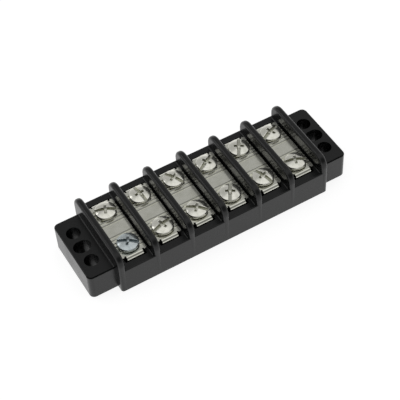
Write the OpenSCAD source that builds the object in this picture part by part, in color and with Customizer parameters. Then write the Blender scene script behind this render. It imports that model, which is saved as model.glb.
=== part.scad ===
// Double-row barrier terminal strip, six circuits. Millimetres, +X along the
// row of circuits, -Y the front row of screws, +Z up. The origin is the centre
// of the underside.

/* [Strip] */
// Distance from one circuit to the next
pitch = 14.2875; // [13:0.0125:20]
// Depth of the moulded body over both long faces
body_depth = 35.9; // [32:0.1:50]
// Height of the deck that carries the terminal plates
deck_height = 11.1; // [9:0.1:16]
// How far each long face leans in between the underside and the deck
face_draft = 0.1; // [0.1:0.05:0.8]
// Rounding along the two long edges of the deck
deck_edge_radius = 0.4; // [0.2:0.1:1]

/* [Barriers] */
// Height of the barriers above the underside
barrier_height = 18.1; // [16:0.1:26]
// Thickness of a barrier
barrier_thickness = 2.7; // [2.5:0.1:3.2]
// Radius of the front and back top corners of a barrier
barrier_corner_radius = 4.6; // [2.5:0.1:6]
// Rounding along a barrier's edges
barrier_edge_radius = 1.1; // [0.3:0.05:1.2]
// Fillet where a barrier rises from the deck or from an ear
root_fillet = 0.5; // [0.2:0.05:0.7]

/* [Mounting ears] */
// Length of an ear beyond the end barrier
ear_length = 10.6; // [9:0.1:16]
// Depth of an ear, front to back
ear_depth = 29.1; // [24:0.1:31]
// Height of an ear
ear_height = 11.2; // [6:0.1:13]
// Radius of an ear's upright corners
ear_corner_radius = 2; // [1:0.1:4]
// Rounding along the top edge of an ear
ear_edge_radius = 0.4; // [0.2:0.05:0.8]
// Diameter of the round mounting holes
mount_hole_d = 5.4; // [4.2:0.1:6]
// Distance between the two round holes of one ear
mount_hole_spacing = 14.3; // [13:0.1:18]
// Distance from the end of an ear to its line of holes
mount_hole_inset = 4.9; // [4:0.1:6]
// Distance between the two end centres of the oblong middle hole
mount_slot_travel = 1.4; // [0.8:0.1:2]

/* [Terminal plates] */
// Width of a terminal plate
plate_width = 10.15; // [8:0.05:10.4]
// Length of a plate between its square ends
plate_length = 26.7; // [24:0.1:28]
// Thickness of the plate metal
plate_thickness = 1.1; // [0.8:0.05:1.3]
// Corner radius of a plate's ends
plate_corner_radius = 0.6; // [0.3:0.05:1]
// Width of the tab at each end
tab_width = 6.5; // [5:0.1:8]
// How far the tab's outer face stands beyond the plate's end
tab_reach = 1.15; // [1.05:0.05:1.4]
// Inside radius of the bend between plate and tab
tab_bend_radius = 0.4; // [0.2:0.05:0.8]
// How deep the tab goes below the deck
tab_depth = 5; // [3:0.1:7]
// Width of the relief notch on each side of a tab
relief_width = 0.7; // [0.4:0.05:1]
// Depth of the relief notch into the plate's end
relief_depth = 0.5; // [0.3:0.05:1]
// Distance from the plate's middle to the first gripping groove
groove_start = 3; // [2.5:0.05:3.4]
// Distance between gripping grooves
groove_pitch = 1.55; // [1.2:0.05:1.6]
// Width of a gripping groove
groove_width = 0.9; // [0.5:0.05:1.1]
// Depth of a gripping groove
groove_depth = 0.3; // [0.1:0.05:0.4]

/* [Terminal screws] */
// Distance between the front and rear screws of one circuit
screw_spacing = 17.1; // [15:0.1:18]
// Outside diameter of the screw thread
thread_d = 4.17; // [3.4:0.01:4.6]
// Length of the screw below its head
screw_length = 9.5; // [7.5:0.1:9.8]
// Chamfer at the end of the thread
point_chamfer = 0.6; // [0.3:0.1:0.9]
// Diameter of the binding head
head_d = 8.2; // [7:0.1:9]
// Height of the upright side of the head
head_side = 0.9; // [0.6:0.05:1.2]
// Height of the head's dome above its side
head_dome = 1.05; // [0.9:0.05:1.5]
// Rounding between the head's side and its dome
head_rim_radius = 0.25; // [0.1:0.05:0.4]
// Depth of the ring-shaped undercut below the head
undercut_depth = 0.3; // [0.15:0.05:0.4]
// Outside diameter of the undercut
undercut_d = 6.6; // [5.6:0.1:6.8]
// Width of the straight driver slot
driver_slot_width = 1.25; // [0.9:0.05:1.4]
// Depth of the straight driver slot below the top of the head
driver_slot_depth = 1.35; // [1.1:0.05:1.4]
// Width across the cross recess at the top of the head
cross_width = 4.4; // [3.6:0.1:4.8]
// Width across the cross recess at its floor
cross_floor_width = 2; // [1.6:0.1:2.6]
// Depth of the cross recess
cross_depth = 1.8; // [1.2:0.05:1.9]
// Width of a wing of the cross recess
cross_wing = 1; // [0.8:0.05:1.2]
// Gap between the head and the plate with the screw as supplied
head_lift = 0.45; // [0.2:0.05:1]

/* [Fits] */
// Running clearance between screw thread and plate, on the radius
thread_clearance = 0.05; // [0.02:0.01:0.1]
// Clearance between screw and the well below it, on the radius
well_clearance = 0.8; // [0.5:0.05:1.2]
// Room left below the screw's point with the screw clamped down
well_room = 1; // [0.6:0.1:1.2]
// Gap all round a tab in its pocket
pocket_clearance = 0.35; // [0.25:0.05:0.4]

/* [Hidden] */
$fn = 48;
tiny = 0.01;

ways = 6;
grooves = 6;
// How far each screw happens to be turned, front row then rear row
front_turn = [146, 14, 139, 58, 107, 159];
rear_turn = [157, 97, 120, 29, 58, 22];

body_length = ways * pitch + barrier_thickness;
body_end = body_length / 2;
strip_end = body_end + ear_length;
ear_root = body_end - barrier_thickness / 2;
mount_x = strip_end - mount_hole_inset;
half_depth = body_depth / 2;
plate_top = deck_height + plate_thickness;
tab_face = plate_length / 2 + tab_reach;
bend_outer = tab_bend_radius + plate_thickness;
screw_y = screw_spacing / 2;
head_seat = plate_top + head_lift;
well_floor = plate_top - screw_length - well_room;
well_d = thread_d + 2 * well_clearance;
pocket_floor = deck_height - tab_depth - pocket_clearance;

function circuit_x(n) = (n - (ways + 1) / 2) * pitch;
function barrier_x(k) = (k - ways / 2) * pitch;

// Extrudes a profile drawn as [y, z] along X, centred on x = 0
module along_x(length) {
    translate([-length / 2, 0, 0])
        rotate([90, 0, 90])
            linear_extrude(length) children();
}

// A rectangle from the origin with its two far corners rounded
module half_round_bar(reach, thickness, r) {
    translate([0, -thickness / 2]) square([reach - r, thickness]);
    translate([0, -thickness / 2 + r]) square([reach, thickness - 2 * r]);
    for (s = [-1, 1])
        translate([reach - r, s * (thickness / 2 - r)]) circle(r);
}

// A rectangle centred on the origin with all four corners rounded
module rounded_rect(size, r) {
    square([size.x - 2 * r, size.y], center = true);
    square([size.x, size.y - 2 * r], center = true);
    for (sx = [-1, 1], sy = [-1, 1])
        translate([sx * (size.x / 2 - r), sy * (size.y / 2 - r)]) circle(r);
}

// The deck's section, with leaning faces and rounded top edges
module base_section() {
    r = deck_edge_radius;
    lean = atan(face_draft / deck_height);
    centre = half_depth - face_draft - r * tan(45 - lean / 2);
    face_y = centre + r * cos(lean);
    face_z = deck_height - r + r * sin(lean);
    polygon([
        [-half_depth, 0], [half_depth, 0], [face_y, face_z],
        [centre, deck_height], [-centre, deck_height], [-face_y, face_z]
    ]);
    for (s = [-1, 1])
        translate([s * centre, deck_height - r]) circle(r);
}

// One barrier: a slab whose rounded edge runs up the front face, over the
// top and down the back face
module barrier() {
    r = barrier_corner_radius;
    corner_y = half_depth - r;
    corner_z = barrier_height - r;
    for (s = [0, 180])
        rotate([0, 0, s]) {
            // upright run
            translate([0, corner_y, 0])
                rotate([0, 0, 90])
                    linear_extrude(corner_z)
                        half_round_bar(r, barrier_thickness, barrier_edge_radius);
            // rounded corner
            translate([0, corner_y, corner_z])
                rotate([90, 0, 90])
                    rotate_extrude(angle = 90)
                        half_round_bar(r, barrier_thickness, barrier_edge_radius);
        }
    // top run
    translate([0, corner_y, corner_z])
        rotate([90, -90, 0])
            linear_extrude(2 * corner_y)
                half_round_bar(r, barrier_thickness, barrier_edge_radius);
    translate([-barrier_thickness / 2, -corner_y, 0])
        cube([barrier_thickness, 2 * corner_y, corner_z]);
}

// A concave fillet along Y, in the angle between a floor and a wall at x = 0
module fillet_along_y(length) {
    translate([0, length / 2, 0])
        rotate([90, 0, 0])
            linear_extrude(length)
                difference() {
                    translate([-tiny, -tiny])
                        square(root_fillet + tiny);
                    translate([root_fillet, root_fillet]) circle(root_fillet);
                }
}

// A mounting ear at the +X end, rounded at its corners and along its top edge
module ear() {
    r = ear_corner_radius;
    edge = ear_edge_radius;
    rim_z = ear_height - edge;
    corner_y = ear_depth / 2 - r;
    linear_extrude(rim_z) ear_plan(0);
    linear_extrude(ear_height) ear_plan(edge);
    for (s = [-1, 1]) {
        translate([ear_root, s * (ear_depth / 2 - edge), rim_z])
            rotate([0, 90, 0]) cylinder(r = edge, h = strip_end - r - ear_root);
        translate([strip_end - r, s * corner_y, rim_z])
            rotate_extrude() translate([r - edge, 0]) circle(edge);
    }
    translate([strip_end - edge, corner_y, rim_z])
        rotate([90, 0, 0]) cylinder(r = edge, h = 2 * corner_y);
}

// Outline of an ear seen from above, drawn in by a margin
module ear_plan(margin) {
    r = ear_corner_radius;
    translate([ear_root, margin - ear_depth / 2])
        square([strip_end - r - ear_root, ear_depth - 2 * margin]);
    translate([ear_root, r - ear_depth / 2])
        square([strip_end - margin - ear_root, ear_depth - 2 * r]);
    for (s = [-1, 1])
        translate([strip_end - r, s * (ear_depth / 2 - r)]) circle(r - margin);
}

module mount_holes() {
    for (s = [-1, 1])
        translate([mount_x, s * mount_hole_spacing / 2, -1])
            cylinder(d = mount_hole_d, h = ear_height + 2);
    for (s = [-1, 1])
        translate([mount_x + s * mount_slot_travel / 2, 0, -1])
            cylinder(d = mount_hole_d, h = ear_height + 2);
    translate([mount_x - mount_slot_travel / 2, -mount_hole_d / 2, -1])
        cube([mount_slot_travel, mount_hole_d, ear_height + 2]);
}

// Room below one circuit for its two screws and its two bent tabs
module circuit_cavities() {
    pocket_w = tab_width + 2 * (relief_width + pocket_clearance);
    for (s = [0, 1])
        mirror([0, s, 0]) {
            translate([0, screw_y, well_floor])
                cylinder(d = well_d, h = deck_height - well_floor + 1);
            // side view of the tab's pocket, stepped back under the bend
            along_x(pocket_w) {
                translate([tab_face - plate_thickness - pocket_clearance, pocket_floor])
                    square([plate_thickness + 2 * pocket_clearance, deck_height - pocket_floor + 1]);
                translate([tab_face - bend_outer - pocket_clearance, deck_height - tab_bend_radius])
                    square([bend_outer, tab_bend_radius + 1]);
            }
        }
}

module housing() {
    color([0.14, 0.14, 0.15])
        difference() {
            union() {
                along_x(body_length - 2 * barrier_edge_radius) base_section();
                for (k = [0 : ways])
                    translate([barrier_x(k), 0, 0]) barrier();
                // fillets inside the circuits
                for (k = [0 : ways - 1]) {
                    translate([barrier_x(k) + barrier_thickness / 2, 0, deck_height])
                        fillet_along_y(2 * (half_depth - barrier_edge_radius));
                    translate([barrier_x(k + 1) - barrier_thickness / 2, 0, deck_height])
                        mirror([1, 0, 0])
                            fillet_along_y(2 * (half_depth - barrier_edge_radius));
                }
                for (s = [0, 1])
                    mirror([s, 0, 0]) {
                        ear();
                        translate([body_end, 0, ear_height])
                            fillet_along_y(ear_depth - 2 * ear_edge_radius);
                    }
            }
            for (s = [0, 1]) mirror([s, 0, 0]) mount_holes();
            for (n = [1 : ways])
                translate([circuit_x(n), 0, 0]) circuit_cavities();
        }
}

// Side view of the plate's strip of metal: flat on the deck, with both ends
// turned down into their pockets
module bent_strip() {
    for (s = [0, 1])
        mirror([s, 0]) {
            translate([tab_face - bend_outer, deck_height - tab_bend_radius])
                intersection() {
                    difference() {
                        circle(bend_outer);
                        circle(tab_bend_radius);
                    }
                    square(2 * bend_outer);
                }
            translate([tab_face - plate_thickness, deck_height - tab_depth])
                square([plate_thickness, tab_depth - tab_bend_radius]);
            translate([0, deck_height])
                square([tab_face - bend_outer, plate_thickness]);
        }
}

module terminal_plate(n) {
    color([0.74, 0.74, 0.70])
        translate([circuit_x(n), 0, 0])
            difference() {
                union() {
                    translate([0, 0, deck_height])
                        linear_extrude(plate_thickness)
                            difference() {
                                rounded_rect([plate_width, plate_length], plate_corner_radius);
                                for (sx = [-1, 1], sy = [-1, 1])
                                    translate([
                                        sx * (tab_width + relief_width) / 2,
                                        sy * (plate_length / 2 - relief_depth / 2 + tiny)
                                    ])
                                        square([relief_width, relief_depth + 2 * tiny], center = true);
                            }
                    along_x(tab_width) bent_strip();
                }
                for (s = [-1, 1]) {
                    translate([0, s * screw_y, deck_height - 1])
                        cylinder(r = thread_d / 2 + thread_clearance, h = plate_thickness + 2);
                    for (g = [0 : grooves - 1])
                        translate([0, s * (groove_start + g * groove_pitch), plate_top])
                            along_x(plate_width + 1)
                                polygon([
                                    [-groove_width / 2, 0], [0, -groove_depth],
                                    [groove_width / 2, 0], [groove_width / 2, 1],
                                    [-groove_width / 2, 1]
                                ]);
                }
            }
}

// Half section of the screw's head, from its axis outwards. The dome's circle
// touches both the top point and the rim's small circle from outside.
module head_section() {
    r = head_rim_radius;
    rim_x = head_d / 2 - r;
    dome_radius = (pow(rim_x, 2) + pow(head_dome, 2) - pow(r, 2)) / (2 * (head_dome - r));
    touch_x = rim_x * dome_radius / (dome_radius - r);
    difference() {
        union() {
            square([head_d / 2, head_side]);
            translate([rim_x, head_side]) circle(r);
            intersection() {
                translate([0, head_side + head_dome - dome_radius]) circle(dome_radius, $fn = 96);
                translate([0, head_side - tiny]) square([touch_x, head_dome + 1]);
            }
        }
        // binding undercut
        polygon([
            [thread_d / 2, -tiny], [undercut_d / 2, -tiny],
            [undercut_d / 2 - undercut_depth, undercut_depth], [thread_d / 2, undercut_depth]
        ]);
    }
}

module screw(n, s, turn) {
    top = head_side + head_dome;
    color([0.78, 0.78, 0.72])
        translate([circuit_x(n), s * screw_y, head_seat])
            rotate([0, 0, turn]) {
                difference() {
                    rotate_extrude() head_section();
                    // straight slot
                    translate([-head_d, -driver_slot_width / 2, top - driver_slot_depth])
                        cube([2 * head_d, driver_slot_width, driver_slot_depth + 1]);
                    // cross recess, narrowing towards its floor
                    intersection() {
                        union() {
                            for (a = [0, 90])
                                rotate([0, 0, a])
                                    translate([-cross_width, -cross_wing / 2, top - cross_depth])
                                        cube([2 * cross_width, cross_wing, cross_depth + 1]);
                        }
                        translate([0, 0, top - cross_depth])
                            cylinder(d1 = cross_floor_width, d2 = cross_width, h = cross_depth + tiny);
                    }
                }
                translate([0, 0, -screw_length + point_chamfer])
                    cylinder(d = thread_d, h = screw_length - point_chamfer + undercut_depth + tiny);
                translate([0, 0, -screw_length])
                    cylinder(d1 = thread_d - 2 * point_chamfer, d2 = thread_d, h = point_chamfer);
            }
}

housing();
terminal_plate(1);  // terminal_plate_1
terminal_plate(2);  // terminal_plate_2
terminal_plate(3);  // terminal_plate_3
terminal_plate(4);  // terminal_plate_4
terminal_plate(5);  // terminal_plate_5
terminal_plate(6);  // terminal_plate_6
screw(1, -1, front_turn[0]);  // front_screw_1
screw(2, -1, front_turn[1]);  // front_screw_2
screw(3, -1, front_turn[2]);  // front_screw_3
screw(4, -1, front_turn[3]);  // front_screw_4
screw(5, -1, front_turn[4]);  // front_screw_5
screw(6, -1, front_turn[5]);  // front_screw_6
screw(1, 1, rear_turn[0]);  // rear_screw_1
screw(2, 1, rear_turn[1]);  // rear_screw_2
screw(3, 1, rear_turn[2]);  // rear_screw_3
screw(4, 1, rear_turn[3]);  // rear_screw_4
screw(5, 1, rear_turn[4]);  // rear_screw_5
screw(6, 1, rear_turn[5]);  // rear_screw_6
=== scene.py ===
"""Dresses a packed six-circuit barrier terminal strip for a studio render.

The moulded housing and the terminal plates keep their CAD solids and get
procedural finishes. Each terminal screw is modelled again with a rolled
thread, a cold-headed crown and soft recess edges, and stands for its CAD node.
Sizes in the classes are in millimetres, and scene units are metres.
"""

import logging
import math
from dataclasses import dataclass, field, replace
from enum import Enum

import bmesh
import bpy
from mathutils import Matrix, Vector
from mathutils.geometry import delaunay_2d_cdt


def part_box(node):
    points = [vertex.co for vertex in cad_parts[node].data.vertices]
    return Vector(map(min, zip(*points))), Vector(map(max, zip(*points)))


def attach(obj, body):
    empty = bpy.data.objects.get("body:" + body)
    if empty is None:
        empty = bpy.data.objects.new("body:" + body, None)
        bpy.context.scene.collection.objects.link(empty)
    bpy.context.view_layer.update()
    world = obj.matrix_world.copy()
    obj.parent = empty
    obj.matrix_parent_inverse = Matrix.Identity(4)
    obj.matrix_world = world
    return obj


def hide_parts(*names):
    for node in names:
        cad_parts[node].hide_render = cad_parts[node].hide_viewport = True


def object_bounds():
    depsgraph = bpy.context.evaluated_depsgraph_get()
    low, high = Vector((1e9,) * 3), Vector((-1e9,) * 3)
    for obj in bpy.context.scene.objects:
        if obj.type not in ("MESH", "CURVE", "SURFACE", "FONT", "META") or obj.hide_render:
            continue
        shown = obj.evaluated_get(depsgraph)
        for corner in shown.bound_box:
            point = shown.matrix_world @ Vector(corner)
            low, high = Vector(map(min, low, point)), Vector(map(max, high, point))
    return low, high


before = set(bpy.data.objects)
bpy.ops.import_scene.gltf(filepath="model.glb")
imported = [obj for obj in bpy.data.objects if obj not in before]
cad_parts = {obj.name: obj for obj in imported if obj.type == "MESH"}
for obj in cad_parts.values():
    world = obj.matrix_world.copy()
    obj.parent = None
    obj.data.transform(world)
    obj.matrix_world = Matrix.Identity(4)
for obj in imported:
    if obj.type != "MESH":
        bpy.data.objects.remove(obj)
cad_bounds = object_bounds()

log = logging.getLogger("terminal_strip")
MM = 0.001


class Part(Enum):
    """Names of the CAD nodes, without their circuit numbers."""

    HOUSING = "housing"
    PLATE = "terminal_plate"
    FRONT_SCREW = "front_screw"
    REAR_SCREW = "rear_screw"


def linear(hex_colour: str) -> tuple[float, float, float, float]:
    """Turns an sRGB hex colour into the linear values that a shader takes.

    Args:
        hex_colour: Colour such as "#8A8F90".

    Returns:
        Linear red, green, blue and an alpha of 1.
    """
    channels = [int(hex_colour[i : i + 2], 16) / 255 for i in (1, 3, 5)]
    values = [
        c / 12.92 if c <= 0.04045 else ((c + 0.055) / 1.055) ** 2.4 for c in channels
    ]
    return (values[0], values[1], values[2], 1.0)


def per_metre(size_mm: float) -> float:
    """Returns the texture scale whose features are about size_mm across."""
    return 1 / (size_mm * MM)


def add_node(
    tree: bpy.types.NodeTree,
    kind: str,
    settings: dict[str, object] | None = None,
    inputs: dict[str | int, object] | None = None,
) -> bpy.types.Node:
    """Adds one node with its settings and its inputs.

    Args:
        tree: Node tree that gets the node.
        kind: Blender's type name of the node.
        settings: Properties of the node, by name.
        inputs: Values by socket name or number. A socket of another node is
            linked instead of copied.

    Returns:
        The new node.
    """
    made = tree.nodes.new(kind)
    for name, value in (settings or {}).items():
        setattr(made, name, value)
    for name, value in (inputs or {}).items():
        if isinstance(value, bpy.types.NodeSocket):
            tree.links.new(value, made.inputs[name])
        else:
            made.inputs[name].default_value = value
    return made


def new_material(name: str) -> tuple[bpy.types.Material, bpy.types.NodeTree]:
    """Makes an empty node material.

    Args:
        name: Name of the real material and its surface process.

    Returns:
        The material and its node tree.
    """
    material = bpy.data.materials.new(name)
    material.use_nodes = True
    material.node_tree.nodes.clear()
    return material, material.node_tree


def dress(piece: bpy.types.Object, material: bpy.types.Material) -> None:
    """Gives every material slot of a piece the same material.

    Args:
        piece: Mesh object, made here or loaded from the CAD.
        material: Finished material.
    """
    if not piece.material_slots:
        piece.data.materials.append(material)
    for slot in piece.material_slots:
        slot.material = material


@dataclass(frozen=True)
class PhenolicMoulding:
    """Black phenolic, compression moulded in a polished steel mould.

    A thermoset with mineral filler: near black in the body, with a clear
    Fresnel sheen at low angles and a faint orange peel from the mould.
    """

    name: str = "phenolic_compression_moulded"
    body_hex: str = "#0B0C0C"
    filler_hex: str = "#151717"
    ior: float = 1.43
    roughness: float = 0.27
    roughness_spread: float = 0.08
    flow_mm: float = 7.0
    filler_mm: float = 0.35
    peel_mm: float = 0.9
    peel_depth_mm: float = 0.02
    peel_strength: float = 0.35

    def material(self) -> bpy.types.Material:
        """Builds the moulded black.

        Returns:
            The finished material.
        """
        material, tree = new_material(self.name)
        place = add_node(tree, "ShaderNodeTexCoord").outputs["Object"]
        # broad, soft changes where the charge flowed in the mould
        flow = add_node(
            tree,
            "ShaderNodeTexNoise",
            inputs={"Vector": place, "Scale": per_metre(self.flow_mm), "Detail": 3.0},
        )
        # fine specks of filler just below the skin
        filler = add_node(
            tree,
            "ShaderNodeTexNoise",
            inputs={"Vector": place, "Scale": per_metre(self.filler_mm), "Detail": 2.0},
        )
        specks = add_node(
            tree,
            "ShaderNodeMapRange",
            inputs={"Value": filler.outputs["Fac"], "From Min": 0.55, "From Max": 0.75},
        )
        colour = add_node(
            tree,
            "ShaderNodeMix",
            {"data_type": "RGBA"},
            {
                "Factor": specks.outputs["Result"],
                "A": linear(self.body_hex),
                "B": linear(self.filler_hex),
            },
        )
        gloss = add_node(
            tree,
            "ShaderNodeMapRange",
            inputs={
                "Value": flow.outputs["Fac"],
                "From Min": 0.3,
                "From Max": 0.7,
                "To Min": self.roughness - self.roughness_spread / 2,
                "To Max": self.roughness + self.roughness_spread / 2,
            },
        )
        peel = add_node(
            tree,
            "ShaderNodeTexNoise",
            inputs={"Vector": place, "Scale": per_metre(self.peel_mm), "Detail": 4.0},
        )
        relief = add_node(
            tree,
            "ShaderNodeBump",
            inputs={
                "Strength": self.peel_strength,
                "Distance": self.peel_depth_mm * MM,
                "Height": peel.outputs["Fac"],
            },
        )
        skin = add_node(
            tree,
            "ShaderNodeBsdfPrincipled",
            inputs={
                "Base Color": colour.outputs["Result"],
                "Roughness": gloss.outputs["Result"],
                "IOR": self.ior,
                "Normal": relief.outputs["Normal"],
            },
        )
        add_node(
            tree,
            "ShaderNodeOutputMaterial",
            inputs={"Surface": skin.outputs["BSDF"]},
        )
        return material


@dataclass(frozen=True)
class PlatedMetal:
    """Bright plating over a rolled or cold-formed metal.

    The metal under the plating gives its grain: rolling lines on strip, a
    faint mottle on a headed screw. Worn and sheltered places differ a little
    in tone.
    """

    name: str
    bright_hex: str
    dull_hex: str
    roughness: float = 0.26
    roughness_spread: float = 0.12
    grain_mm: tuple[float, float, float] = (0.18, 4.0, 0.18)
    grain_depth_mm: float = 0.006
    grain_strength: float = 0.5
    mottle_mm: float = 2.5
    edge_mm: float = 0.08

    def material(self) -> bpy.types.Material:
        """Builds the plated metal.

        Returns:
            The finished material.
        """
        material, tree = new_material(self.name)
        place = add_node(tree, "ShaderNodeTexCoord").outputs["Object"]
        stretched = add_node(
            tree,
            "ShaderNodeMapping",
            inputs={
                "Vector": place,
                "Scale": tuple(per_metre(size) for size in self.grain_mm),
            },
        )
        grain = add_node(
            tree,
            "ShaderNodeTexNoise",
            inputs={"Vector": stretched.outputs["Vector"], "Scale": 1.0, "Detail": 3.0},
        )
        mottle = add_node(
            tree,
            "ShaderNodeTexNoise",
            inputs={"Vector": place, "Scale": per_metre(self.mottle_mm), "Detail": 4.0},
        )
        tone = add_node(
            tree,
            "ShaderNodeMapRange",
            inputs={"Value": mottle.outputs["Fac"], "From Min": 0.4, "From Max": 0.75},
        )
        colour = add_node(
            tree,
            "ShaderNodeMix",
            {"data_type": "RGBA"},
            {
                "Factor": tone.outputs["Result"],
                "A": linear(self.bright_hex),
                "B": linear(self.dull_hex),
            },
        )
        gloss = add_node(
            tree,
            "ShaderNodeMapRange",
            inputs={
                "Value": mottle.outputs["Fac"],
                "From Min": 0.3,
                "From Max": 0.7,
                "To Min": self.roughness - self.roughness_spread / 2,
                "To Max": self.roughness + self.roughness_spread / 2,
            },
        )
        # stamped and headed edges are never sharp
        eased = add_node(
            tree,
            "ShaderNodeBevel",
            {"samples": 4},
            {"Radius": self.edge_mm * MM},
        )
        relief = add_node(
            tree,
            "ShaderNodeBump",
            inputs={
                "Strength": self.grain_strength,
                "Distance": self.grain_depth_mm * MM,
                "Height": grain.outputs["Fac"],
                "Normal": eased.outputs["Normal"],
            },
        )
        skin = add_node(
            tree,
            "ShaderNodeBsdfPrincipled",
            inputs={
                "Base Color": colour.outputs["Result"],
                "Metallic": 1.0,
                "Roughness": gloss.outputs["Result"],
                "Normal": relief.outputs["Normal"],
            },
        )
        add_node(
            tree,
            "ShaderNodeOutputMaterial",
            inputs={"Surface": skin.outputs["BSDF"]},
        )
        return material


@dataclass(frozen=True)
class PaperFloor:
    """White studio paper: matt, and bright enough to read as pure white."""

    name: str = "paper_matt_white"
    paper_hex: str = "#A0A0A0"
    glow: float = 0.84

    def shaded(self) -> bpy.types.Material:
        """Builds the same paper without its glow, for where the strip lies on it.

        Returns:
            The finished material.
        """
        material, tree = new_material(f"{self.name}_shaded")
        paper = add_node(
            tree, "ShaderNodeBsdfDiffuse", inputs={"Color": linear(self.paper_hex)}
        )
        add_node(
            tree,
            "ShaderNodeOutputMaterial",
            inputs={"Surface": paper.outputs["BSDF"]},
        )
        return material

    def material(self) -> bpy.types.Material:
        """Builds the paper, lit from within for the camera and for gloss only.

        Returns:
            The finished material.
        """
        material, tree = new_material(self.name)
        seen = add_node(tree, "ShaderNodeLightPath")
        direct = add_node(
            tree,
            "ShaderNodeMath",
            {"operation": "MAXIMUM"},
            {0: seen.outputs["Is Camera Ray"], 1: seen.outputs["Is Glossy Ray"]},
        )
        either = add_node(
            tree,
            "ShaderNodeMath",
            {"operation": "MAXIMUM"},
            {0: direct.outputs["Value"], 1: seen.outputs["Is Transmission Ray"]},
        )
        strength = add_node(
            tree,
            "ShaderNodeMath",
            {"operation": "MULTIPLY"},
            {0: either.outputs["Value"], 1: self.glow},
        )
        glow = add_node(
            tree,
            "ShaderNodeEmission",
            inputs={"Strength": strength.outputs["Value"]},
        )
        paper = add_node(
            tree, "ShaderNodeBsdfDiffuse", inputs={"Color": linear(self.paper_hex)}
        )
        both = add_node(
            tree,
            "ShaderNodeAddShader",
            inputs={0: paper.outputs["BSDF"], 1: glow.outputs["Emission"]},
        )
        add_node(
            tree,
            "ShaderNodeOutputMaterial",
            inputs={"Surface": both.outputs["Shader"]},
        )
        return material


@dataclass
class Housing:
    """The one-piece moulded body, kept as the CAD solid."""

    finish: PhenolicMoulding = field(default_factory=PhenolicMoulding)

    def dress(self) -> None:
        """Gives the moulding its finish."""
        dress(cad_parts[Part.HOUSING.value], self.finish.material())
        log.info("housing dressed")


@dataclass
class TerminalPlates:
    """The stamped plates with their bent tabs, kept as CAD solids."""

    finish: PlatedMetal = field(
        default_factory=lambda: PlatedMetal(
            name="brass_strip_rolled_and_tin_plated",
            bright_hex="#E6E6DB",
            dull_hex="#D8D8CB",
            roughness=0.17,
            roughness_spread=0.06,
            grain_mm=(0.15, 6.0, 0.15),
            grain_depth_mm=0.0015,
            mottle_mm=3.0,
            edge_mm=0.06,
        )
    )

    def dress(self) -> None:
        """Gives every plate the plated finish."""
        material = self.finish.material()
        names = [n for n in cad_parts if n.startswith(Part.PLATE.value)]
        for name in names:
            dress(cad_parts[name], material)
        log.info("%d terminal plates dressed", len(names))


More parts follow.
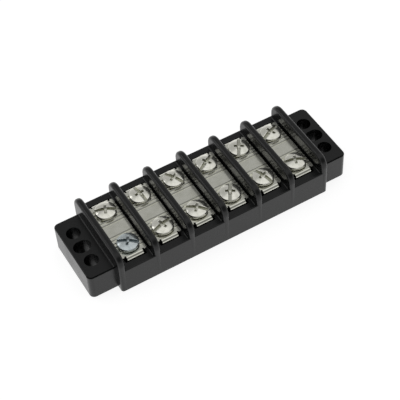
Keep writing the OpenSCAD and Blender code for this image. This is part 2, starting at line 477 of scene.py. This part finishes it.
@dataclass
class TerminalScrew:
    """Binding-head terminal screw with a straight slot and a cross recess.

    All sizes are in millimetres, from the plane under the head. The thread's
    depth, crest and flank are shares of its pitch.
    """

    head_d: float = 8.2
    head_side: float = 0.9
    head_dome: float = 1.05
    rim_round: float = 0.25
    slot_width: float = 1.25
    slot_depth: float = 1.35
    cross_width: float = 4.4
    cross_floor_width: float = 2.0
    cross_depth: float = 1.8
    cross_wing: float = 1.0
    cone_slope: float = 0.55
    wall_lean: float = 0.05
    edge_round: float = 0.09
    straight_share: float = 0.93
    undercut_d: float = 6.6
    undercut_depth: float = 0.3
    thread_d: float = 4.17
    thread_pitch: float = 0.79375
    length: float = 9.5
    thread_depth_share: float = 0.6134
    half_crest_share: float = 0.0625
    flank_share: float = 0.3125
    neck: float = 0.5
    neck_cut: float = 0.22
    neck_runout: float = 0.4
    point: float = 0.7
    foot_round: float = 0.12
    foot_bevel: float = 0.035
    rim_shares: tuple[float, ...] = (0.18, 0.42, 0.7, 1.0)
    dome_rings: tuple[float, ...] = (3.75, 3.35, 2.85, 2.4)
    recess_rings: tuple[float, ...] = (1.9, 1.45, 1.0)
    wing_overrun: float = 0.15
    wing_end_steps: tuple[float, float] = (0.3, 0.12)
    crease_degrees: float = 38
    weld: float = 1e-5
    on_rim: float = 1e-3
    rim_steps: int = 108
    thread_steps: int = 36
    rows_per_turn: int = 8

    @property
    def top(self) -> float:
        """Height of the crown above the plane under the head."""
        return self.head_side + self.head_dome

    @property
    def rim_middle(self) -> float:
        """Distance from the axis to the centre of the rim's small circle."""
        return self.head_d / 2 - self.rim_round

    @property
    def dome_radius(self) -> float:
        """Radius of the dome, which touches the rim's circle from outside."""
        rise = self.head_dome - self.rim_round
        reach = self.rim_middle**2 + self.head_dome**2 - self.rim_round**2
        return reach / (2 * rise)

    def crown(self, reach: float) -> float:
        """Height of the head's outer surface.

        Args:
            reach: Distance from the screw's axis.

        Returns:
            Height above the plane under the head.
        """
        dome = self.dome_radius
        if reach < self.rim_middle * dome / (dome - self.rim_round):
            return self.top - dome + math.sqrt(dome**2 - reach**2)
        out = min(reach - self.rim_middle, self.rim_round)
        return self.head_side + math.sqrt(self.rim_round**2 - out**2)

    def pit(self, along: float) -> float:
        """Depth of the cross recess below the crown's top.

        Args:
            along: Distance from the axis along a wing.

        Returns:
            Depth, from the blunt cone at the bottom up the wing's end.
        """
        inner = self.cross_floor_width / 2
        knee = self.cross_depth - inner * self.cone_slope
        if along < inner:
            return self.cross_depth - along * self.cone_slope
        return knee * (1 - (along - inner) / (self.cross_width / 2 - inner))

    def wall(self, offset: float, half_width: float) -> float:
        """How far up a recess wall a point is.

        Args:
            offset: Distance from the recess's middle line.
            half_width: Half of the recess's width at its lip.

        Returns:
            0 on the floor, 1 outside the rounded lip.
        """
        foot = half_width - self.wall_lean
        lip = half_width + self.edge_round
        if offset <= foot:
            return 0.0
        if offset <= half_width:
            return self.straight_share * (offset - foot) / self.wall_lean
        if offset < lip:
            share = (offset - half_width) / self.edge_round
            rest = 1 - self.straight_share
            return self.straight_share + rest * math.sin(share * math.pi / 2)
        return 1.0

    def surface(self, x: float, y: float) -> float:
        """Height of the head's top with its slot and cross cut in.

        Args:
            x: Distance along the straight slot.
            y: Distance across the straight slot.

        Returns:
            Height above the plane under the head.
        """
        outer = self.crown(math.hypot(x, y))
        floor = min(self.top - self.slot_depth, outer)
        height = floor + (outer - floor) * self.wall(abs(y), self.slot_width / 2)
        for along, across in ((abs(x), abs(y)), (abs(y), abs(x))):
            deep = self.top - self.pit(along)
            if deep < outer:
                share = self.wall(across, self.cross_wing / 2)
                height = min(height, deep + (outer - deep) * share)
        return height

    def plan_lines(self) -> tuple[list[Vector], list[tuple[int, int]]]:
        """Lays out the head's top in plan, before it is triangulated.

        Returns:
            Points, and the lines between them that the triangles follow.
        """
        points: list[Vector] = []
        lines: list[tuple[int, int]] = []
        radius = self.head_d / 2
        slot = self.slot_width / 2
        wing = self.cross_wing / 2
        slot_marks = (slot - self.wall_lean, slot, slot + self.edge_round)
        wing_marks = (wing - self.wall_lean, wing, wing + self.edge_round)

        def ring(reach: float, angles: list[float]) -> None:
            """Adds a closed ring of points.

            Args:
                reach: Radius of the ring.
                angles: Directions of its points, in order.
            """
            first = len(points)
            points.extend(
                Vector((reach * math.cos(a), reach * math.sin(a))) for a in angles
            )
            numbers = list(range(first, len(points)))
            lines.extend(zip(numbers, numbers[1:] + numbers[:1]))

        def stroke(x0: float, y0: float, x1: float, y1: float) -> None:
            """Adds a straight line from one point to another."""
            points.extend((Vector((x0, y0)), Vector((x1, y1))))
            lines.append((len(points) - 2, len(points) - 1))

        step = 2 * math.pi / self.rim_steps
        angles = [i * step for i in range(self.rim_steps)]
        for mark in slot_marks:
            tilt = math.asin(mark / radius)
            for near in (tilt, math.pi - tilt, math.pi + tilt, 2 * math.pi - tilt):
                angles = [a for a in angles if abs(a - near) > step * 0.3]
                angles.append(near)
        ring(radius, sorted(angles))
        plain = [i * step * 2 for i in range(self.rim_steps // 2)]
        for share in self.rim_shares:
            ring(radius - self.rim_round * share, plain)
        for reach in self.dome_rings:
            ring(reach, plain)
        points.append(Vector((0.0, 0.0)))
        for reach in self.recess_rings:
            ring(reach, plain[::2])
        for mark in slot_marks:
            half = math.sqrt(radius**2 - mark**2)
            for side in (-1, 1):
                stroke(-half, side * mark, half, side * mark)
        end = self.cross_width / 2 + self.wing_overrun
        for mark in wing_marks:
            for side in (-1, 1):
                stroke(side * mark, -end, side * mark, end)
        for mark in wing_marks[:2]:
            for side in (-1, 1):
                stroke(-end, side * mark, end, side * mark)
        ends = [self.cross_width / 2 - step for step in self.wing_end_steps]
        for reach in (self.cross_floor_width / 2, *ends):
            for side in (-1, 1):
                stroke(-wing, side * reach, wing, side * reach)
                stroke(side * reach, -wing, side * reach, wing)
        return points, lines

    def thread_radius(self, height: float, angle: float) -> float:
        """Radius of the shank: neck, 60-degree thread and pointed end.

        Args:
            height: Height from the plane under the head, below zero.
            angle: Direction from the axis, in radians.

        Returns:
            Radius in millimetres.
        """
        major = self.thread_d / 2
        depth = self.thread_depth_share * self.thread_pitch
        turn = (height / self.thread_pitch - angle / (2 * math.pi)) % 1.0
        flank = (abs(turn - 0.5) - self.half_crest_share) / self.flank_share
        cut = depth * min(max(flank, 0.0), 1.0)
        neck = min(max((height + self.neck) / self.neck_runout + 1, 0.0), 1.0)
        cut = cut * (1 - neck) + self.neck_cut * neck
        radius = major - cut
        from_end = height + self.length
        cone = major - self.point + from_end
        return min(radius, cone)

    def mesh(self) -> bpy.types.Mesh:
        """Builds the whole screw as one closed skin.

        Returns:
            A mesh in metres whose origin lies under the head, on the axis.
        """
        points, lines = self.plan_lines()
        flat, _, faces, *_ = delaunay_2d_cdt(points, lines, [], 0, self.weld, False)
        skin = bmesh.new()
        crown = [
            skin.verts.new((p.x, p.y, self.surface(p.x, p.y))) for p in flat
        ]
        for face in faces:
            made = skin.faces.new([crown[i] for i in face])
            middle = made.calc_center_median()
            below = self.crown(math.hypot(middle.x, middle.y)) - middle.z
            # faces sunk deeper than the lip's rounding take the second slot, the recess
            # colours with painted shade
            made.material_index = int(below > self.edge_round)
        radius = self.head_d / 2
        rim = [v for v in crown if math.hypot(v.co.x, v.co.y) > radius - self.on_rim]
        rim.sort(key=lambda v: math.atan2(v.co.y, v.co.x))
        below = rim
        profile = (
            (radius, self.foot_round),
            (radius - self.foot_bevel, self.foot_bevel),
            (radius - self.foot_round, 0.0),
            (self.undercut_d / 2, 0.0),
            (self.undercut_d / 2 - self.undercut_depth, self.undercut_depth),
        )
        for reach, height in profile:
            level = []
            for vertex in rim:
                across = Vector((vertex.co.x, vertex.co.y)).normalized() * reach
                level.append(skin.verts.new((across.x, across.y, height)))
            self.join(skin, below, level)
            below = level
        under = self.edges_of(below)
        turns = [
            2 * math.pi * i / self.thread_steps for i in range(self.thread_steps)
        ]
        rows = round(
            (self.length + self.undercut_depth)
            / self.thread_pitch
            * self.rows_per_turn
        )
        above: list[bmesh.types.BMVert] = []
        for row in range(rows + 1):
            height = self.undercut_depth - row / rows * (
                self.length + self.undercut_depth
            )
            level = []
            for angle in turns:
                reach = self.thread_radius(height, angle)
                level.append(
                    skin.verts.new(
                        (reach * math.cos(angle), reach * math.sin(angle), height)
                    )
                )
            if above:
                self.join(skin, above, level)
            else:
                bmesh.ops.bridge_loops(skin, edges=under + self.ring_edges(skin, level))
            above = level
        skin.faces.new(above)
        bmesh.ops.recalc_face_normals(skin, faces=skin.faces)
        bmesh.ops.scale(skin, vec=(MM, MM, MM), verts=skin.verts)
        mesh = bpy.data.meshes.new("terminal_screw")
        skin.to_mesh(mesh)
        skin.free()
        mesh.shade_smooth()
        mesh.set_sharp_from_angle(angle=math.radians(self.crease_degrees))
        return mesh

    @staticmethod
    def join(
        skin: bmesh.types.BMesh,
        above: list[bmesh.types.BMVert],
        below: list[bmesh.types.BMVert],
    ) -> None:
        """Joins two rings of as many points with a band of faces.

        Args:
            skin: Mesh that gets the faces.
            above: Points of the first ring, in order.
            below: Points of the second ring, in the same order.
        """
        for i, vertex in enumerate(above):
            j = (i + 1) % len(above)
            skin.faces.new((vertex, below[i], below[j], above[j]))

    @staticmethod
    def edges_of(ring: list[bmesh.types.BMVert]) -> list[bmesh.types.BMEdge]:
        """Returns the edges that join the points of a ring in order."""
        return [
            edge
            for i, vertex in enumerate(ring)
            for edge in vertex.link_edges
            if edge.other_vert(vertex) is ring[(i + 1) % len(ring)]
        ]

    @staticmethod
    def ring_edges(
        skin: bmesh.types.BMesh, ring: list[bmesh.types.BMVert]
    ) -> list[bmesh.types.BMEdge]:
        """Makes and returns the edges of a closed ring."""
        return [
            skin.edges.new((vertex, ring[(i + 1) % len(ring)]))
            for i, vertex in enumerate(ring)
        ]


@dataclass
class ScrewSet:
    """All twelve screws, each turned as it was left when driven."""

    screw: TerminalScrew = field(default_factory=TerminalScrew)
    nickel: PlatedMetal = field(
        default_factory=lambda: PlatedMetal(
            name="steel_cold_headed_and_nickel_plated",
            bright_hex="#F1F0E6",
            dull_hex="#E2E2D6",
            roughness=0.2,
            grain_mm=(0.35, 0.35, 0.35),
            grain_depth_mm=0.004,
            mottle_mm=1.6,
            edge_mm=0.05,
        )
    )
    zinc: PlatedMetal = field(
        default_factory=lambda: PlatedMetal(
            name="steel_cold_headed_and_zinc_plated",
            bright_hex="#CAD2D3",
            dull_hex="#B8C1C3",
            roughness=0.26,
            grain_mm=(0.35, 0.35, 0.35),
            grain_depth_mm=0.004,
            mottle_mm=1.6,
            edge_mm=0.05,
        )
    )
    front_turn: tuple[float, ...] = (146, 14, 139, 58, 107, 159)
    rear_turn: tuple[float, ...] = (157, 97, 120, 29, 58, 22)
    odd_one: str = "front_screw_1"
    # darker copies of the plating colours for the recess faces: painted shade inside the
    # slot and cross
    nickel_painted_recess_shade_hex: tuple[str, str] = ("#CDCDC1", "#B4B4A7")
    zinc_painted_recess_shade_hex: tuple[str, str] = ("#A9B1B3", "#969FA2")
    recess_roughness: float = 0.22

    def build(self) -> None:
        """Makes each screw, seats it where its CAD node is and dresses it."""
        nickel, zinc = self.nickel.material(), self.zinc.material()
        # the recess materials are the same plating with darker colours, which paint the
        # shade in the deep slot and cross
        nickel_painted_recess_shade = replace(
            self.nickel,
            name="nickel_plating_with_painted_recess_shade",
            bright_hex=self.nickel_painted_recess_shade_hex[0],
            dull_hex=self.nickel_painted_recess_shade_hex[1],
            roughness=self.recess_roughness,
        ).material()
        zinc_painted_recess_shade = replace(
            self.zinc,
            name="zinc_plating_with_painted_recess_shade",
            bright_hex=self.zinc_painted_recess_shade_hex[0],
            dull_hex=self.zinc_painted_recess_shade_hex[1],
            roughness=self.recess_roughness,
        ).material()
        mesh = self.screw.mesh()
        plain = mesh.copy()
        mesh.materials.append(nickel)
        mesh.materials.append(nickel_painted_recess_shade)
        plain.materials.append(zinc)
        plain.materials.append(zinc_painted_recess_shade)
        for row, turns in (
            (Part.FRONT_SCREW, self.front_turn),
            (Part.REAR_SCREW, self.rear_turn),
        ):
            for circuit, turn in enumerate(turns, start=1):
                node = f"{row.value}_{circuit}"
                odd = node == self.odd_one
                low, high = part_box(node)
                made = bpy.data.objects.new(f"{node}_dressed", plain if odd else mesh)
                bpy.context.scene.collection.objects.link(made)
                made.location = (
                    (low.x + high.x) / 2,
                    (low.y + high.y) / 2,
                    high.z - self.screw.top * MM,
                )
                made.rotation_euler.z = math.radians(turn)
                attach(made, node)
                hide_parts(node)
                log.info("%s: %d faces", made.name, len(made.data.polygons))


@dataclass(frozen=True)
class SoftLamp:
    """One rectangular soft light."""

    name: str
    place: tuple[float, float, float]
    aim: tuple[float, float, float]
    width: float
    height: float
    power: float

    def build(self) -> None:
        """Hangs the lamp and turns it to its aim."""
        data = bpy.data.lights.new(self.name, "AREA")
        data.shape = "RECTANGLE"
        data.size, data.size_y = self.width, self.height
        data.energy = self.power
        lamp = bpy.data.objects.new(self.name, data)
        bpy.context.scene.collection.objects.link(lamp)
        lamp.location = self.place
        facing = Vector(self.aim) - Vector(self.place)
        lamp.rotation_mode = "QUATERNION"
        lamp.rotation_quaternion = facing.to_track_quat("-Z", "Y")


@dataclass
class Studio:
    """White floor, pale surround, soft lamps and the camera."""

    floor_m: float = 6.0
    floor: PaperFloor = field(default_factory=PaperFloor)
    floor_gap_mm: float = 0.05
    cover_inset_mm: float = 5.0
    wall_light: tuple[tuple[float, float], ...] = ((0.0, 0.95), (0.3, 0.82), (1.0, 0.7))
    front_share: float = 0.25
    back_share: float = 0.58
    share_turn: float = 0.3
    opening_side: tuple[float, float] = (0.2, 0.5)
    opening_rise: tuple[float, float] = (0.15, 0.4)
    azimuth: float = -27.642
    elevation: float = 50.242
    roll: float = -3.789
    distance_mm: float = 451.247
    aim_height_mm: float = 8.0
    lens_mm: float = 108.794
    shift: tuple[float, float] = (-0.0056, -0.0133)
    clip_m: tuple[float, float] = (0.01, 20.0)
    lamps: tuple[SoftLamp, ...] = (
        SoftLamp("overhead", (-0.05, 0.0, 0.9), (0, 0, 0), 0.9, 0.9, 0.3),
        SoftLamp("key", (-0.36, 0.5, 0.52), (0, 0, 0), 0.22, 0.22, 0.25),
    )

    def build_floor(self) -> None:
        """Lays the paper just under the strip, plain where the strip covers it."""
        half = self.floor_m / 2
        low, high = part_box(Part.HOUSING.value)
        inset = self.cover_inset_mm * MM
        across = (-half, low.x + inset, high.x - inset, half)
        along = (-half, low.y + inset, high.y - inset, half)
        level = cad_bounds[0].z - self.floor_gap_mm * MM
        points = [(x, y, level) for y in along for x in across]
        row = len(across)
        faces = [
            (i, i + 1, i + row + 1, i + row)
            for i in range(len(points) - row - 1)
            if i % row != row - 1
        ]
        mesh = bpy.data.meshes.new("floor")
        mesh.from_pydata(points, [], faces)
        floor = bpy.data.objects.new("floor", mesh)
        bpy.context.scene.collection.objects.link(floor)
        mesh.materials.append(self.floor.material())
        mesh.materials.append(self.floor.shaded())
        mesh.polygons[len(faces) // 2].material_index = 1

    def build_surround(self) -> None:
        """Surrounds the scene with pale walls and two dimmer openings.

        The openings lie above the front and the back of the set, as gaps
        between soft boxes do, and give the metal something darker to show.
        """
        world = bpy.data.worlds.new("studio_surround")
        bpy.context.scene.world = world
        world.use_nodes = True
        tree = world.node_tree
        tree.nodes.clear()
        way = add_node(tree, "ShaderNodeTexCoord").outputs["Generated"]
        parts = add_node(tree, "ShaderNodeSeparateXYZ", inputs={"Vector": way})
        level = add_node(
            tree, "ShaderNodeValToRGB", inputs={"Fac": parts.outputs["Z"]}
        )
        ramp = level.color_ramp
        ramp.elements.remove(ramp.elements[1])
        for i, (rise, light) in enumerate(self.wall_light):
            stop = ramp.elements[0] if i == 0 else ramp.elements.new(rise)
            stop.position = rise
            stop.color = (light, light, light, 1.0)
        sideways = add_node(
            tree, "ShaderNodeMath", {"operation": "ABSOLUTE"}, {0: parts.outputs["Y"]}
        )
        along = add_node(
            tree,
            "ShaderNodeMapRange",
            inputs={
                "Value": sideways.outputs["Value"],
                "From Min": self.opening_side[0],
                "From Max": self.opening_side[1],
            },
        )
        above = add_node(
            tree,
            "ShaderNodeMapRange",
            inputs={
                "Value": parts.outputs["Z"],
                "From Min": self.opening_rise[0],
                "From Max": self.opening_rise[1],
            },
        )
        opening = add_node(
            tree,
            "ShaderNodeMath",
            {"operation": "MULTIPLY"},
            {0: along.outputs["Result"], 1: above.outputs["Result"]},
        )
        share = add_node(
            tree,
            "ShaderNodeMapRange",
            inputs={
                "Value": parts.outputs["Y"],
                "From Min": -self.share_turn,
                "From Max": self.share_turn,
                "To Min": self.front_share,
                "To Max": self.back_share,
            },
        )
        strength = add_node(
            tree,
            "ShaderNodeMix",
            {"data_type": "FLOAT"},
            {
                "Factor": opening.outputs["Value"],
                "A": 1.0,
                "B": share.outputs["Result"],
            },
        )
        white = add_node(
            tree,
            "ShaderNodeBackground",
            inputs={
                "Color": level.outputs["Color"],
                "Strength": strength.outputs["Result"],
            },
        )
        add_node(
            tree,
            "ShaderNodeOutputWorld",
            inputs={"Surface": white.outputs["Background"]},
        )

    def build_camera(self) -> None:
        """Sets the camera above the front left corner, looking down at the strip."""
        a, e = math.radians(self.azimuth), math.radians(self.elevation)
        r = math.radians(self.roll)
        back = Vector(
            (math.sin(a) * math.cos(e), -math.cos(a) * math.cos(e), math.sin(e))
        )
        level = Vector((math.cos(a), math.sin(a), 0))
        right = math.cos(r) * level + math.sin(r) * back.cross(level)
        up = back.cross(right)
        data = bpy.data.cameras.new("camera")
        data.lens = self.lens_mm
        data.shift_x, data.shift_y = self.shift
        data.clip_start, data.clip_end = self.clip_m
        camera = bpy.data.objects.new("camera", data)
        bpy.context.scene.collection.objects.link(camera)
        place = Vector((0, 0, self.aim_height_mm * MM)) + back * self.distance_mm * MM
        turned = Matrix((right, up, back)).transposed().to_4x4()
        camera.matrix_world = Matrix.Translation(place) @ turned
        bpy.context.scene.camera = camera

    def build(self) -> None:
        """Builds the whole set."""
        self.build_floor()
        self.build_surround()
        for lamp in self.lamps:
            lamp.build()
        self.build_camera()
        bpy.context.scene.view_settings.view_transform = "Standard"
        log.info("studio set built")


def main() -> None:
    """Builds and dresses every piece, then the studio."""
    logging.basicConfig(level=logging.INFO, format="%(name)s: %(message)s")
    Housing().dress()
    TerminalPlates().dress()
    ScrewSet().build()
    Studio().build()


if __name__ == "__main__":
    main()
